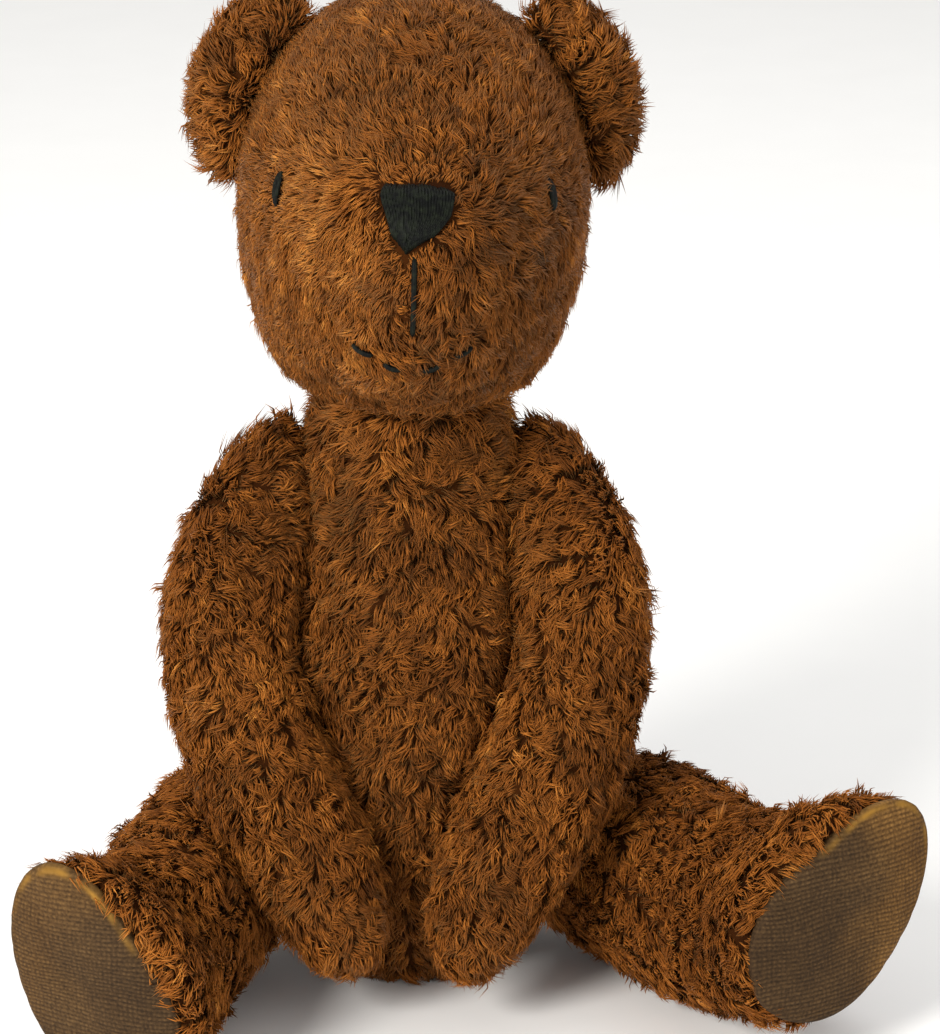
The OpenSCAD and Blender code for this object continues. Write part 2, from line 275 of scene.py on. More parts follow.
def knit_material():
    """Olive brown knit of the soles, with a painted highlight making it lighter and yellower towards the toe
    and outer edge, and painted shade in the grooves between its rows.
    """
    m, t, s = node_tree("sole_knit")
    reads = {}
    for name in ("knit_height", "rim", "sole_highlight"):
        n = t.nodes.new("ShaderNodeAttribute")
        n.attribute_name = name
        reads[name] = n.outputs[2]
    cloud = texture(t, "ShaderNodeTexNoise", 45, 5)
    # the knit colour in an unlit and a lit version; the highlight attribute blends between them as a painted
    # highlight
    unlit_knit = ramp(t, cloud.outputs[0], [(0.32, (0.050, 0.027, 0.010)), (0.68, (0.088, 0.050, 0.020))])
    lit_knit = ramp(t, cloud.outputs[0], [(0.32, (0.130, 0.064, 0.018)), (0.68, (0.220, 0.115, 0.032))])
    patch = mixed(t, reads["sole_highlight"], unlit_knit, lit_knit)
    fibre = texture(t, "ShaderNodeTexNoise", 1500, 3)
    patch = mixed(t, 0.8, patch, ramp(t, fibre.outputs[0], [
        (0.3, (0.45, 0.42, 0.38)), (0.7, (1.45, 1.45, 1.4))]), "MULTIPLY")
    # painted shade: the knit darkened in the grooves between its rows and stitches
    knit_groove_shade = ramp(t, reads["knit_height"], [(0.0, (0.50, 0.46, 0.42)), (1.0, (1.18, 1.18, 1.16))])
    colour = mixed(t, 1.0, patch, knit_groove_shade, "MULTIPLY")
    link(t, mixed(t, reads["rim"], colour, (0.280, 0.140, 0.020)), s.inputs["Base Color"])
    s.inputs["Roughness"].default_value = 0.85
    s.inputs["Specular IOR Level"].default_value = 0.2
    bump(t, s, fibre.outputs[0], 0.00015)
    return m


def thread_material(name, dark, light):
    m, t, s = node_tree(name)
    lint = texture(t, "ShaderNodeTexNoise", 700, 4)
    twist = texture(t, "ShaderNodeTexWave", 900, 1, Distortion=2.0)
    link(t, ramp(t, lint.outputs[0], [(0.42, dark), (0.72, light)]), s.inputs["Base Color"])
    s.inputs["Roughness"].default_value = 0.6
    s.inputs["Specular IOR Level"].default_value = 0.12
    bump(t, s, twist.outputs[0], 0.0001)
    return m


def board_material():
    m, t, s = node_tree("pressed_board")
    chips = texture(t, "ShaderNodeTexVoronoi", 600)
    cloud = texture(t, "ShaderNodeTexNoise", 200, 6)
    link(t, mixed(t, 0.5, ramp(t, cloud.outputs[0], [(0.3, (0.14, 0.07, 0.03)), (0.7, (0.32, 0.19, 0.09))]),
                  chips.outputs[1], "OVERLAY"), s.inputs["Base Color"])
    s.inputs["Roughness"].default_value = 0.75
    bump(t, s, cloud.outputs[0], 0.0002)
    return m


def steel_material():
    m, t, s = node_tree("zinc_plate")
    cloud = texture(t, "ShaderNodeTexNoise", 400, 5)
    link(t, ramp(t, cloud.outputs[0], [(0.3, (0.42, 0.43, 0.45)), (0.7, (0.62, 0.63, 0.65))]),
         s.inputs["Base Color"])
    s.inputs["Metallic"].default_value = 1.0
    link(t, maths(t, "MULTIPLY_ADD", cloud.outputs[0], 0.3, 0.5), s.inputs["Roughness"])
    bump(t, s, cloud.outputs[0], 0.00005)
    return m


FUR = fur_material()
SHADE_BACKING = shade_backing_material()
KNIT = knit_material()
BLACK = thread_material("black_cotton", (0.0015, 0.002, 0.0015), (0.009, 0.012, 0.006))
BROWN = thread_material("brown_cotton", (0.030, 0.012, 0.004), (0.080, 0.036, 0.012))
LINEN = thread_material("linen_cotton", (0.35, 0.30, 0.22), (0.55, 0.50, 0.40))
BOARD = board_material()
STEEL = steel_material()


# ---------------------------------------------------------------- stuffed forms

CLOTH_FRAMES = 20                # how long the cloth is left to settle


def stuffed(name, nodes, body, voxel=0.0035, shrink=0.0009, swell=0.0014, smoothing=6):
    """A closed padded form in the place of CAD nodes: remeshed, drawn in, then swollen by cloth pressure.
    """
    bm = bmesh.new()
    for n in nodes:
        bm.from_mesh(NODES[n].data)
    me = bpy.data.meshes.new(name)
    bm.to_mesh(me)
    bm.free()
    o = bpy.data.objects.new(name, me)
    bpy.context.scene.collection.objects.link(o)
    mod = o.modifiers.new("Remesh", "REMESH")
    mod.mode = "VOXEL"
    mod.voxel_size = voxel
    applied(o)
    bm, parts = islands(o.data)
    for part in parts[1:]:
        bmesh.ops.delete(bm, geom=part, context="VERTS")
    for _ in range(smoothing):
        bmesh.ops.smooth_vert(bm, verts=bm.verts, factor=0.5,
                              use_axis_x=True, use_axis_y=True, use_axis_z=True)
    bm.normal_update()
    for v in bm.verts:
        v.co = v.co - v.normal * shrink
    bmesh.ops.recalc_face_normals(bm, faces=bm.faces)
    bm.to_mesh(o.data)
    bm.free()
    start = mesh_arrays(o.data)
    cloth = o.modifiers.new("Cloth", "CLOTH")
    cloth.settings.use_pressure = True
    cloth.settings.uniform_pressure_force = 4
    cloth.settings.tension_stiffness = 25
    cloth.settings.bending_stiffness = 2
    cloth.settings.effector_weights.gravity = 0
    cloth.point_cache.frame_start = 1
    cloth.point_cache.frame_end = CLOTH_FRAMES
    for f in range(1, CLOTH_FRAMES + 1):
        bpy.context.scene.frame_set(f)
    applied(o)
    bpy.context.scene.frame_set(1)
    move = mesh_arrays(o.data) - start
    size = np.linalg.norm(move, axis=1, keepdims=True)
    set_coordinates(o.data, start + move * np.minimum(1, swell / np.maximum(size, 1e-9)))
    sub = o.modifiers.new("Subdivision", "SUBSURF")
    sub.levels = 1
    sub.render_levels = 1
    applied(o)
    o.data.materials.clear()
    # the padded forms carry the dark backing, painted shade under the pile
    o.data.materials.append(SHADE_BACKING)
    o.data.polygons.foreach_set("use_smooth", np.ones(len(o.data.polygons), bool))
    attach(o, body)
    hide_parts(*nodes)
    return o


BASE = {"torso": stuffed("torso_plush", ["torso_skin", "torso_stuffing"], "torso"),
        "head": stuffed("head_plush", ["head_skin", "head_stuffing"], "head")}
for side in ("left", "right"):
    BASE["arm_" + side] = stuffed("arm_plush_" + side, ["arm_skin_" + side, "arm_stuffing_" + side],
                                  "arm_" + side)
    BASE["leg_" + side] = stuffed("leg_plush_" + side, ["leg_skin_" + side, "leg_stuffing_" + side],
                                  "leg_" + side)
    BASE["ear_" + side] = stuffed("ear_plush_" + side, ["ear_" + side], "head", voxel=0.002,
                                  shrink=0.0006, swell=0.0008, smoothing=8)

BODY_OF = {k: (k if k in BODIES else "head") for k in BASE}


# ---------------------------------------------------------------- where the limbs are

LEG_FLOOR = 0.8 * MM             # the lowest that each kind of piece reaches above the floor
SOLE_FLOOR = 0.3 * MM
PILE_FLOOR = 0.1 * MM


def joint(name):
    j = next(j for j in frame["joints"] if j["name"] == name)
    return np.array(j["pos_m"]), unit(np.array(j["axis"]))


def sole_frame(side):
    """Centre, outward normal, toe and outward directions of a sole from its CAD plate, and its outline."""
    p = node_points("sole_pad_" + side)
    _, axes = np.linalg.eigh(np.cov((p - p.mean(0)).T))
    normal, toe = axes[:, 0], axes[:, 2]
    if normal @ (p.mean(0) - joint("hip_" + side)[0]) < 0:
        normal = -normal
    toe = toe * np.sign(toe[2])
    out = unit(np.cross(toe, normal))
    out = out * np.sign(out[0]) * (1 if side == "left" else -1)
    local = np.stack([(p - p.mean(0)) @ out, (p - p.mean(0)) @ toe, (p - p.mean(0)) @ normal], 1)
    middle = (local.min(0) + local.max(0)) / 2
    face = local[:, 2].max()
    centre = p.mean(0) + out * middle[0] + toe * middle[1] + normal * face
    edge = local[local[:, 2] > face - 0.3 * MM][:, :2] - middle[:2]
    angle = np.arctan2(edge[:, 1], edge[:, 0])
    order = np.argsort(angle)
    return centre, normal, toe, out, (angle[order], np.linalg.norm(edge, axis=1)[order])


def sole_reach(side, angle):
    """How far the CAD plate reaches at an angle, and how much of that the pile covers there."""
    at, far = sole_frame(side)[4]
    reach = np.interp(angle, at, far, period=2 * math.pi)
    inner = np.clip(-np.cos(angle), 0, 1) ** 1.3
    toe = np.clip(np.cos(angle - math.radians(112)), 0, 1) ** 2
    heel = np.clip(-np.sin(angle), 0, 1) ** 2
    return reach, (0.2 + 4.6 * inner + 2.4 * toe + 1.6 * heel) * MM


def sole_place(side, p):
    """Depth above the CAD plate, angle and distance from its middle, for points p."""
    centre, normal, toe, out, _ = sole_frame(side)
    q = p - centre
    x, y = q @ out, q @ toe
    return q @ normal, np.arctan2(y, x), np.hypot(x, y)


def raise_lip(side):
    """Rolls the leg's end forward and outward round the sole, over a slightly drawn-in ankle."""
    me = BASE["leg_" + side].data
    co = mesh_arrays(me)
    depth, angle, far = sole_place(side, co)
    reach, covered = sole_reach(side, angle)
    _, normal, toe, out, _ = sole_frame(side)
    push = (smooth_step(far, reach - covered - 3.5 * MM, reach - covered * 0.55)
            * smooth_step(depth, -8 * MM, -2.5 * MM) * (0.4 * MM + covered * 0.42))
    aside = out * np.cos(angle)[:, None] + toe * np.sin(angle)[:, None]
    cuff = 0.55 * covered * np.exp(-((depth + 5 * MM) / (6 * MM)) ** 2)
    ankle = 0.50 * covered * np.exp(-((depth + 23 * MM) / (9 * MM)) ** 2)
    swell = (cuff - ankle) * smooth_step(far, 0.3 * reach, reach)
    co = co + push[:, None] * normal + swell[:, None] * aside
    co[:, 2] = np.maximum(co[:, 2], LEG_FLOOR)
    set_coordinates(me, co)


NOSE = np.array([(a + b) / 2 for a, b in zip(*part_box("nose"))])
NECK = joint("neck_turn")[0]
for side in ("left", "right"):
    raise_lip(side)


def bvh_of(objects):
    verts, faces = [], []
    for o in objects:
        at = len(verts)
        verts += [tuple(v.co) for v in o.data.vertices]
        faces += [[at + i for i in p.vertices] for p in o.data.polygons]
    return BVHTree.FromPolygons(verts, faces)


OTHERS = {body: bvh_of([o for k, o in BASE.items() if BODY_OF[k] != body]) for body in BODIES}
OWN = {k: bvh_of([o]) for k, o in BASE.items()}


# ---------------------------------------------------------------- pile

LENGTH = 4.2 * MM                # how long a strand is
STRANDS = 2.5                    # strands per square millimetre
CLEAR_MIN = 0.6 * MM             # no pile grows where another piece is closer than this
LOOK = 0.02                      # how far out another piece is looked for
ROOT = 0.30 * MM                 # how deep a strand stands in its ground
HALF_WIDE, FINER = 0.225, 0.055  # half a strand's width, and how much thinner the finest is, in mm
RING = np.array([[0.0, 1.0], [-0.866, -0.5], [0.866, -0.5]])


def sampled(o, per_mm2, rng):
    """Points spread over an object's faces, with their normals."""
    me = o.data
    me.calc_loop_triangles()
    tri = np.empty(len(me.loop_triangles) * 3, np.int32)
    me.loop_triangles.foreach_get("vertices", tri)
    tri = tri.reshape(-1, 3)
    co = mesh_arrays(me)
    nor = np.empty(len(me.vertices) * 3)
    me.vertices.foreach_get("normal", nor)
    nor = nor.reshape(-1, 3)
    a, b, c = (co[tri[:, i]] for i in range(3))
    area = np.linalg.norm(np.cross(b - a, c - a), axis=1) / 2
    count = int(area.sum() * 1e6 * per_mm2)
    at = (np.arange(count) + rng.uniform(0, 1, count)) / count * area.sum()
    pick = np.minimum(np.searchsorted(np.cumsum(area), at), len(area) - 1)
    u, v = rng.uniform(0, 1, (2, count))
    flip = u + v > 1
    u, v = np.where(flip, 1 - u, u), np.where(flip, 1 - v, v)
    w = np.stack([1 - u - v, u, v], 1)
    p = np.einsum("ij,ijk->ik", w, np.stack([a[pick], b[pick], c[pick]], 1))
    n = unit(np.einsum("ij,ijk->ik", w, np.stack([nor[tri[pick, i]] for i in range(3)], 1)))
    return p, n


def clearance(p, n, body):
    """How far it is from each point along its normal to another body, or to the floor."""
    tree = OTHERS[body]
    found = np.full(len(p), LOOK)
    for i, (a, b) in enumerate(zip(p, n)):
        hit = tree.ray_cast(Vector(a + b * 1e-5), Vector(b), LOOK)
        if hit[0] is not None:
            found[i] = hit[3]
    down = np.maximum(-n[:, 2], 1e-6)
    floor = np.where(n[:, 2] < -0.05, p[:, 2] / down, 1.0)
    return np.minimum(found, np.maximum(floor, 0.0))


def pile(p, n, flow, body, seed, length=LENGTH, rise=0.30, fine=0.0, short=1.0, glow=0.0, per_tuft=9):
    """Strands rooted at p: vertices, faces and palette coordinates. Neighbours share a tuft's lie and tone.

    A strand is a ring at its root, a thinner ring half way and a tip. fine makes the pile thinner and more
    even; short scales its length; glow lightens it. Each may be an array.
    """
    rng = np.random.default_rng(seed)
    fine, short, glow = (np.broadcast_to(x, len(p)) for x in (fine, short, glow))
    heart = rng.permutation(len(p))[:max(1, len(p) // per_tuft)]
    c, cf = p[heart], fine[heart]
    tree = KDTree(len(c))
    for i, q in enumerate(c):
        tree.insert(q, i)
    tree.balance()
    own = np.array([tree.find(q)[1] for q in p])
    room = clearance(c, n[heart], body)
    k = len(c)
    turn = 0.62 * waves(c, 19 * MM, seed + 1) + 0.50 * waves(c, 8 * MM, seed + 2) + rng.normal(0, 0.30, k)
    turn = turn * (1 - 0.55 * cf)
    uneven = 0.19 * waves(c, 10 * MM, seed + 3) + rng.normal(0, 0.13, k)
    lift = rise + 0.10 * (1 - cf) + uneven * (1 - 0.6 * cf)
    highest = np.clip((room * 0.7 + 0.2 * MM) / length, 0.04, 1.0)
    lift = np.minimum(np.clip(lift, 0.08, 0.95), highest)
    tall = length * np.clip(rng.normal(1.0, 0.15, k), 0.6, 1.35)
    bend = rng.normal(0, 0.38, k) * (1 - 0.5 * cf)
    tone = 0.50 + 0.10 * waves(c, 34 * MM, seed + 4) + 0.11 * waves(c, 9 * MM, seed + 5)
    tone = tone + rng.normal(0, 0.10, k)

    ok = (room > CLEAR_MIN)[own]
    p, n, flow, own, fine, short, glow = (x[ok] for x in (p, n, flow, own, fine, short, glow))
    count = len(p)
    flow = unit(flow - n * np.einsum("ij,ij->i", flow, n)[:, None])
    side = np.cross(n, flow)
    angle = turn[own] + rng.normal(0, 0.17, count)
    t = flow * np.cos(angle)[:, None] + side * np.sin(angle)[:, None]
    s = np.cross(n, t)
    size = tall[own] * short * np.clip(rng.normal(1.0, 0.16, count), 0.5, 1.4)
    up = np.clip(lift[own] * rng.normal(1.0, 0.14, count), 0.03, 0.97) * size
    along = np.sqrt(size ** 2 - up ** 2)
    gather = (c[own] - p) * ((0.52 - 0.30 * fine) * np.minimum(1, size / (3 * MM)))[:, None]
    root = p - n * ROOT
    middle = (p + t * (along * 0.30)[:, None] + n * (up * 0.95 + 0.25 * MM)[:, None] + gather * 0.35
              + s * (rng.normal(0, 0.07, count) * size - 0.12 * bend[own] * size)[:, None])
    tip = (p + t * along[:, None] + n * (up * 0.88 + 0.1 * MM)[:, None] + gather
           + s * (rng.normal(0, 0.06, count) * size + bend[own] * size)[:, None])
    half = 0.25 * root + 0.5 * middle + 0.25 * tip
    wide = (HALF_WIDE - FINER * fine) * MM * np.clip(rng.normal(1, 0.18, count), 0.6, 1.5)

    rings = []
    for at, d, w in ((root, unit(middle - root), 1.0), (half, unit(tip - root), 0.95)):
        e = unit(np.cross(d, n))
        f = np.cross(e, d)
        for x, y in RING:
            rings.append(at + e * (wide * w * x)[:, None] + f * (wide * w * y * 0.6)[:, None])
    rings.append(tip)
    verts = np.stack(rings, 1)
    points = verts.shape[1]
    one = [(0, 2, 1)] + [(3 + i, 3 + (i + 1) % 3, 6) for i in range(3)]
    for i in range(3):
        a, b = i, (i + 1) % 3
        one += [(a, b, b + 3), (a, b + 3, a + 3)]
    first = points * np.arange(count, dtype=np.int32)[:, None, None]
    faces = (np.array(one, np.int32)[None] + first).reshape(-1, 3)

    shade = np.clip(tone[own] + glow + rng.normal(0, 0.08, count), 0.02, 0.98)
    level = np.array([0.03, 0.03, 0.03, 0.52, 0.52, 0.52, 0.97])
    sideways = np.array([-1, 0, 1, -1, 0, 1, 0]) * 0.006
    uv = np.stack([shade[:, None] + sideways[None], np.broadcast_to(level, (count, points))], 2)
    return verts.reshape(-1, 3), faces, np.clip(uv.reshape(-1, 2), 0.002, 0.998)


def fur_piece(name, strands, body):
    """One panel of pile as a mesh, from what pile() gives."""
    v, f, uv = strands
    v[:, 2] = np.maximum(v[:, 2], PILE_FLOOR)
    me = bpy.data.meshes.new(name)
    me.vertices.add(len(v))
    me.loops.add(len(f) * 3)
    me.polygons.add(len(f))
    me.vertices.foreach_set("co", v.reshape(-1).astype(np.float32))
    me.loops.foreach_set("vertex_index", f.reshape(-1))
    me.polygons.foreach_set("loop_start", np.arange(0, len(f) * 3, 3, dtype=np.int32))
    me.polygons.foreach_set("use_smooth", np.ones(len(f), bool))
    loops = uv[f.reshape(-1)].reshape(-1).astype(np.float32)
    for layer in ("Palette", "OFBake"):
        me.uv_layers.new(name=layer).data.foreach_set("uv", loops)
    me.materials.append(FUR)
    me.update()
    me.validate()
    o = bpy.data.objects.new(name, me)
    bpy.context.scene.collection.objects.link(o)
    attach(o, body)
    return o


# Outline of the sewn nose from the front: how far down it, then its reach to the left and to the right in mm
NOSE_SHAPE = np.array([(0.0, 7.0, 7.2), (0.2, 7.9, 8.6), (0.45, 6.3, 7.7), (0.68, 5.3, 4.6), (0.85, 4.5, 1.4),
                       (1.0, 3.0, -1.4)])


def nose_reach(u):
    """How far the nose reaches to the left and to the right of its middle, u of the way down."""
    down, left, right = NOSE_SHAPE.T
    return np.interp(u, down, left) * MM, np.interp(u, down, right) * MM


def face_room(p):
    """0 on the sewn nose, line and eyes, rising to 1 away from them."""
    low, high = (np.array(x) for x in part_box("nose"))
    x, z = p[:, 0] - NOSE[0], p[:, 2]
    down = (high[2] - z) / (high[2] - low[2])
    left, right = nose_reach(np.clip(down, 0, 1))
    inside = np.minimum(x + left, right - x)
    inside = np.minimum(inside, np.minimum(down, 1 - down) * (high[2] - low[2]))
    away = -inside
    low, high = (np.array(q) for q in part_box("mouth_stitches"))
    line = np.maximum(np.abs(x + 2.2 * MM) - 0.5 * MM, z - NOSE[2])
    away = np.minimum(away, np.maximum(line, high[2] - 21 * MM - z))
    away = np.where(p[:, 1] < NOSE[1] + 0.02, away, 1.0)
    for side in ("left", "right"):
        low, high = (np.array(q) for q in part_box("eye_" + side))
        q = (p - (low + high) / 2) / np.array([2.0, 3.0, 4.6])
        away = np.minimum(away, (np.linalg.norm(q, axis=1) - MM) * 2.4)
    return away


HEAD_MIDDLE = 14 * MM            # half the width of the head's middle panel
HEAD_BACK = -8 * MM              # where the head's front panels end

# Head: panels combed back from the nose, ruffled beside it and darkened there as painted shade, lighter on
# the bear's right cheek partly from brushing and partly as painted light
p, n = sampled(BASE["head"], STRANDS * 1.3, np.random.default_rng(11))
away = face_room(p)
ok = (away > -0.3 * MM) & ~((p[:, 2] < NECK[2] + 1.2 * MM) & (n[:, 2] < -0.8))
for side in ("left", "right"):
    tree = OWN["ear_" + side]
    ok &= np.array([tree.ray_cast(Vector(a - b * 2 * MM), Vector(b), 4 * MM)[0] is None
                    for a, b in zip(p, n)])
p, n, away = p[ok], n[ok], away[ok]
flow = unit(p - (NOSE + np.array([0, 0.012, -0.002])))
ahead = smooth_step(-p[:, 1:2], -14 * MM, 10 * MM)
high = smooth_step(p[:, 2:3], NOSE[2] - 14 * MM, NOSE[2] + 12 * MM)
flow = ahead * (flow + UP * (0.60 * high - 0.45)) + (1 - ahead) * (0.35 * flow - UP)
short = 0.45 + 0.55 * smooth_step(away, 0.0, 5 * MM)
ruffled = np.exp(-((p[:, 0] - NOSE[0] - 6 * MM) / (19 * MM)) ** 2) * smooth_step(-p[:, 1], 0.0, 0.03)
fine = np.clip(1.0 - 0.8 * ruffled + 0.15 * waves(p, 30 * MM, 12), 0, 1)
# the bear's right cheek lightened, partly brushing and partly painted light
brushed_and_lit = np.exp(-(((p[:, 0] + 24 * MM) / (17 * MM)) ** 2
                   + ((p[:, 2] - NOSE[2] + 10 * MM) / (30 * MM)) ** 2))
# painted shade: the ruffled fur beside the nose is darkened, standing in for shade in its crevices
glow = 0.12 * fine - 0.12 + 0.30 * brushed_and_lit
front, low, left = p[:, 1] < HEAD_BACK, p[:, 2] < NOSE[2], p[:, 0] > 0
panels = {
    "head_fur_side_left": (p[:, 0] > HEAD_MIDDLE) & front,
    "head_fur_side_right": (p[:, 0] < -HEAD_MIDDLE) & front,
    "head_fur_middle": (np.abs(p[:, 0]) <= HEAD_MIDDLE) & front,
    "head_fur_nape_left": left & ~front & low,
    "head_fur_nape_right": ~left & ~front & low,
    "head_fur_crown_left": left & ~front & ~low,
    "head_fur_crown_right": ~left & ~front & ~low}
for i, (name, pick) in enumerate(panels.items()):
    fur_piece(name, pile(p[pick], n[pick], flow[pick], "head", 100 + 10 * i, rise=0.27, fine=fine[pick],
                         short=short[pick], glow=glow[pick]), "head")

# Ears: combed from their root to their rim
for i, side in enumerate(("left", "right")):
    p, n = sampled(BASE["ear_" + side], STRANDS * 1.1, np.random.default_rng(21 + i))
    flow = unit(p - (NECK + np.array([0, 0.004, 0.05]))) + 0.8 * unit(p - p.mean(0))
    fur_piece("ear_fur_" + side, pile(p, n, flow, "head", 200 + 10 * i, rise=0.36), "head")

# Torso: panels combed down
p, n = sampled(BASE["torso"], STRANDS, np.random.default_rng(31))
shoulder = joint("shoulder_left")[0][2]
top = smooth_step(p[:, 2:3], shoulder - 15 * MM, shoulder + 12 * MM)
aside = np.clip(p[:, 0:1] / (18 * MM), -1, 1) * np.array([1.0, 0, 0])
flow = -UP * (1 - 0.5 * top) + (0.25 + 1.0 * top) * aside
front, left = p[:, 1] < 0, p[:, 0] > 0
panels = {
    "torso_fur_front_left": left & front,
    "torso_fur_front_right": ~left & front,
    "torso_fur_back_left": left & ~front,
    "torso_fur_back_right": ~left & ~front}
for i, (name, pick) in enumerate(panels.items()):
    fur_piece(name, pile(p[pick], n[pick], flow[pick], "torso", 300 + 10 * i,
                         short=1 + 0.2 * top[pick, 0]), "torso")

# Arms and legs: two panels each, combed towards the paw or the sole
for i, side in enumerate(("left", "right")):
    sign = 1 if side == "left" else -1
    for k, limb in enumerate(("arm", "leg")):
        key = limb + "_" + side
        p, n = sampled(BASE[key], STRANDS, np.random.default_rng(41 + 2 * i + k))
        glow, longer = np.zeros(len(p)), np.zeros(len(p))
        if limb == "arm":
            paw = p[np.argmin(p[:, 2])]
            flow = np.tile(unit(paw - joint("shoulder_" + side)[0]), (len(p), 1))
            top = smooth_step(p[:, 2:3], shoulder - 20 * MM, shoulder + 12 * MM)
            flow = flow * (1 - 0.8 * top) - 1.1 * top * sign * np.array([1.0, 0, 0])
            longer = 0.15 * top[:, 0]
        else:
            centre, normal, toe, out, _ = sole_frame(side)
            depth, angle, far = sole_place(side, p)
            reach, covered = sole_reach(side, angle)
            ok = ~((depth > -3.5 * MM) & (far < reach - covered - 0.2 * MM) & (n @ normal > 0.2))
            inward = -(out * np.cos(angle)[:, None] + toe * np.sin(angle)[:, None])
            rim = smooth_step(depth, -6 * MM, -1 * MM)[:, None]
            flow = normal * (1 - 0.5 * rim) + inward * rim * 0.9
            glow = 0.16 * rim[:, 0]
            p, n, flow, glow, longer = p[ok], n[ok], flow[ok], glow[ok], longer[ok]
        across = p @ np.array([sign, 0, 0])
        outer = across > np.median(across)
        for j, (name, pick) in enumerate((("outer", outer), ("inner", ~outer))):
            fur_piece(f"{limb}_fur_{name}_{side}",
                      pile(p[pick], n[pick], flow[pick], key, 400 + 40 * i + 20 * k + 10 * j,
                           glow=glow[pick], short=1 + longer[pick]), key)


# ---------------------------------------------------------------- soles

GRID = 210                       # points along each side of a sole's mesh
ROW, COLUMN = 1.08 * MM, 1.15 * MM    # pitch of the knitted rows and of the stitches in a row
DOME = 2.6 * MM                  # how far the middle stands out from the edge
SKIRT = ((0.6, 1.004), (1.5, 1.0), (2.4, 0.97), (2.8, 0.6))    # the turned-in edge: mm down, and its scale


def sole(side):
    """A softly domed knitted pad inside the rolled rim, with its rows level when the bear sits."""
    centre, normal, toe, out, _ = sole_frame(side)
    a = np.linspace(-1, 1, GRID)
    gx, gy = (g.reshape(-1) for g in np.meshgrid(a, a))
    dx, dy = gx * np.sqrt(1 - gy * gy / 2), gy * np.sqrt(1 - gx * gx / 2)
    angle, q = np.arctan2(dy, dx), np.hypot(dx, dy)
    reach, covered = sole_reach(side, angle)
    full = reach + 0.7 * MM - covered * 0.86
    x, y = full * q * np.cos(angle), full * q * np.sin(angle)
    level = unit(UP - normal * (UP @ normal))
    over = np.cross(level, normal)
    row_at = x * (out @ level) + y * (toe @ level)
    col_at = x * (out @ over) + y * (toe @ over)
    flat = np.stack([x, y, 0 * x], 1)
    row = 0.5 + 0.5 * np.cos(2 * math.pi * (row_at / ROW + 0.45 * waves(flat, 22 * MM, 62)))
    column = 0.5 + 0.5 * np.cos(2 * math.pi * (col_at / COLUMN + 0.5 * waves(flat, 20 * MM, 63)))
    knit = row ** 0.8 * (0.5 + 0.5 * column) * (0.85 + 0.15 * waves(flat, 2.5 * MM, 66))
    edge = (1 - q) * full
    fade = smooth_step(edge, 0.2 * MM, 1.6 * MM)
    height = (DOME * np.maximum(1 - q * q, 0) ** 0.6 + 0.5 * MM + fade * knit * 0.26 * MM
              + 0.35 * MM * fade * waves(flat, 15 * MM, 64))
    toeward = smooth_step(np.sin(angle), 0.15, 0.8)
    rim = (np.exp(-((edge - 0.9 * MM) / (0.8 * MM)) ** 2) * toeward
           * smooth_step(-np.cos(angle), -0.75, 0.1) * np.clip(0.6 + 0.4 * waves(flat, 5 * MM, 67), 0, 1))
    # painted highlight on the sole knit: lighter towards the toe and outer edge, stronger on the left foot
    lean = 0.55 * x / reach.max() * 1.6 + 0.8 * y / reach.max() + 0.25 * waves(flat, 18 * MM, 65)
    sole_highlight = smooth_step(lean, -0.25, 0.75) * (1.0 if side == "left" else 0.35)
    verts = np.stack([x, y, height], 1)
    index = np.arange(GRID * GRID).reshape(GRID, GRID)
    quads = np.stack([index[:-1, :-1], index[:-1, 1:], index[1:, 1:], index[1:, :-1]], 2).reshape(-1, 4)
    faces = [tuple(f) for f in quads.tolist()]
    loop = np.concatenate([index[0, :-1], index[:-1, -1], index[-1, :0:-1], index[:0:-1, 0]])
    count = len(loop)
    skirt = [verts[loop] * np.array([scale, scale, 0]) + np.array([0, 0, (0.5 - drop) * MM])
             for drop, scale in SKIRT]
    bottom = len(verts) + count * len(skirt)
    previous = loop
    for i in range(len(skirt)):
        ring = len(verts) + i * count + np.arange(count)
        quads = np.stack([previous, np.roll(previous, -1), np.roll(ring, -1), ring], 1)
        faces += [tuple(f) for f in quads.tolist()]
        previous = ring
    faces += [(int(previous[j]), int(previous[(j + 1) % count]), bottom) for j in range(count)]
    v = np.concatenate([verts] + skirt + [np.array([[0, 0, -2.3 * MM]])])
    every = np.concatenate([np.arange(GRID * GRID)] + [loop] * len(skirt) + [[0]])
    world = centre + v[:, :1] * out + v[:, 1:2] * toe + (v[:, 2:3] - 0.2 * MM) * normal
    world[:, 2] = np.maximum(world[:, 2], SOLE_FLOOR)
    o = new_object("sole_knit_" + side, world, faces, KNIT)
    bm = bmesh.new()
    bm.from_mesh(o.data)
    bmesh.ops.recalc_face_normals(bm, faces=bm.faces)
    bm.to_mesh(o.data)
    bm.free()
    for name, values in (("knit_height", knit), ("rim", rim), ("sole_highlight", sole_highlight)):
        layer = o.data.attributes.new(name, "FLOAT", "POINT")
        layer.data.foreach_set("value", values[every].astype(np.float32))
    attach(o, "leg_" + side)
    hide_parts("sole_pad_" + side)
    return o


for side in ("left", "right"):
    sole(side)


# ---------------------------------------------------------------- sewn face and stitches

